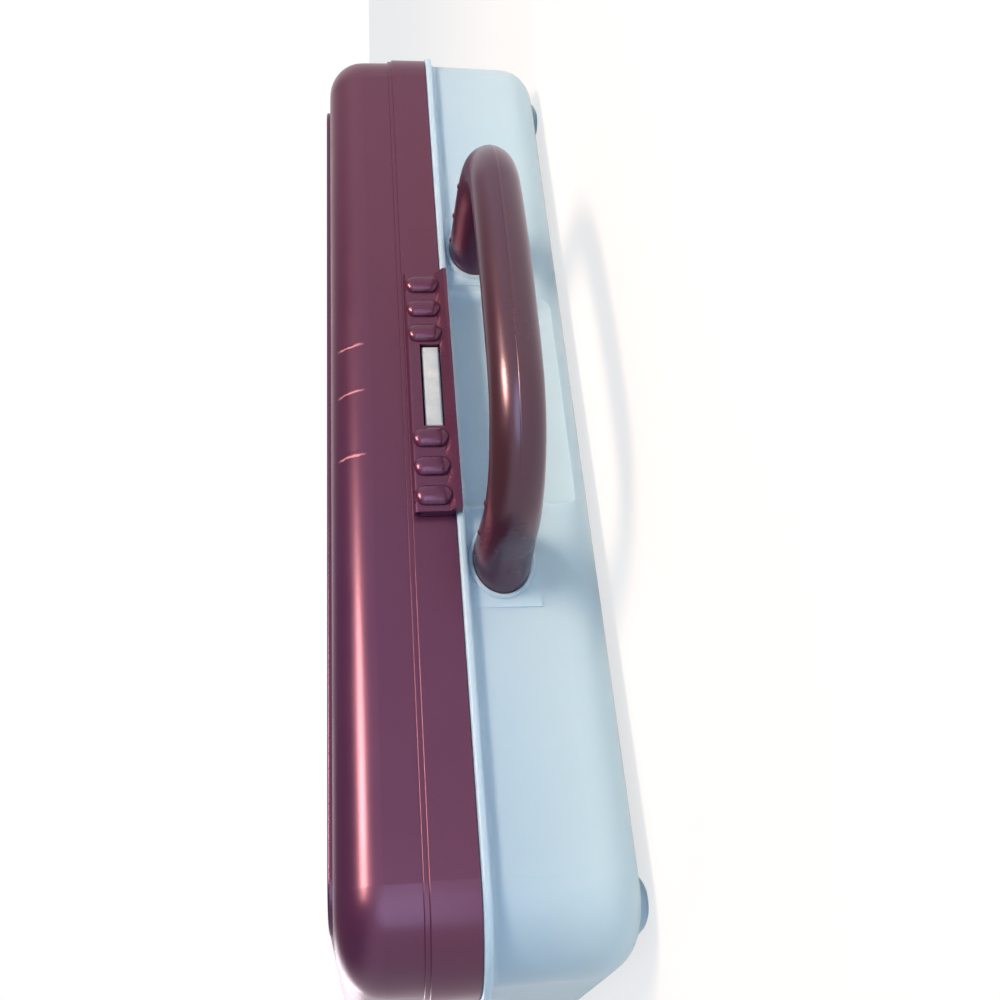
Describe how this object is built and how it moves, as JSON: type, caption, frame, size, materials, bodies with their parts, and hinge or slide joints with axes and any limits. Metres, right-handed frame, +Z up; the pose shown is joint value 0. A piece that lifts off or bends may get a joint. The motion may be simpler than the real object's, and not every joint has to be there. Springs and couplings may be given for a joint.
{
  "type": "carrying case for pencils",
  "caption": "Flat hinged plastic case for pencils with a translucent base, a purple lid, a ribbed front latch, a carrying handle and a lift-out tray.",
  "frame": {"origin": "under the middle of the whole case, handle and hinges included, on the plane that the moulded feet rest on", "axes": "+X along the case, -Y towards the front with the latch and the handle, +Z up through the lid"},
  "size_m": [0.3724, 0.3238, 0.0901],
  "materials": {
    "purple_plastic": "pearly purple moulded plastic with a soft gloss",
    "milky_plastic": "milky translucent moulded plastic",
    "steel": "plain bright steel wire and screws"
  },
  "bodies": {
    "base": {"base_shell": "milky_plastic", "carry_handle": "purple_plastic", "handle_screw_left": "steel", "handle_screw_right": "steel", "handle_washer_left": "steel", "handle_washer_right": "steel", "hinge_pin_left": "steel", "hinge_pin_right": "steel"},
    "lid": {"lid_shell": "purple_plastic", "latch_wire": "steel"},
    "latch": {"front_latch": "purple_plastic"},
    "tray": {"lift_out_tray": "milky_plastic"}
  },
  "joints": [
    {"name": "lid_hinge", "type": "hinge", "parent": "base", "child": "lid", "pos_m": [0, 0.15887, 0.049], "axis": [-1, 0, 0], "range_deg": [0, 180]},
    {"name": "latch_hinge", "type": "hinge", "parent": "lid", "child": "latch", "pos_m": [0, -0.09742, 0.0609], "axis": [-1, 0, 0], "range_deg": [0, 95]},
    {"name": "tray_lift", "type": "slide", "parent": "base", "child": "tray", "axis": [0, 0, 1], "range_m": [0, 0.028]}
  ]
}
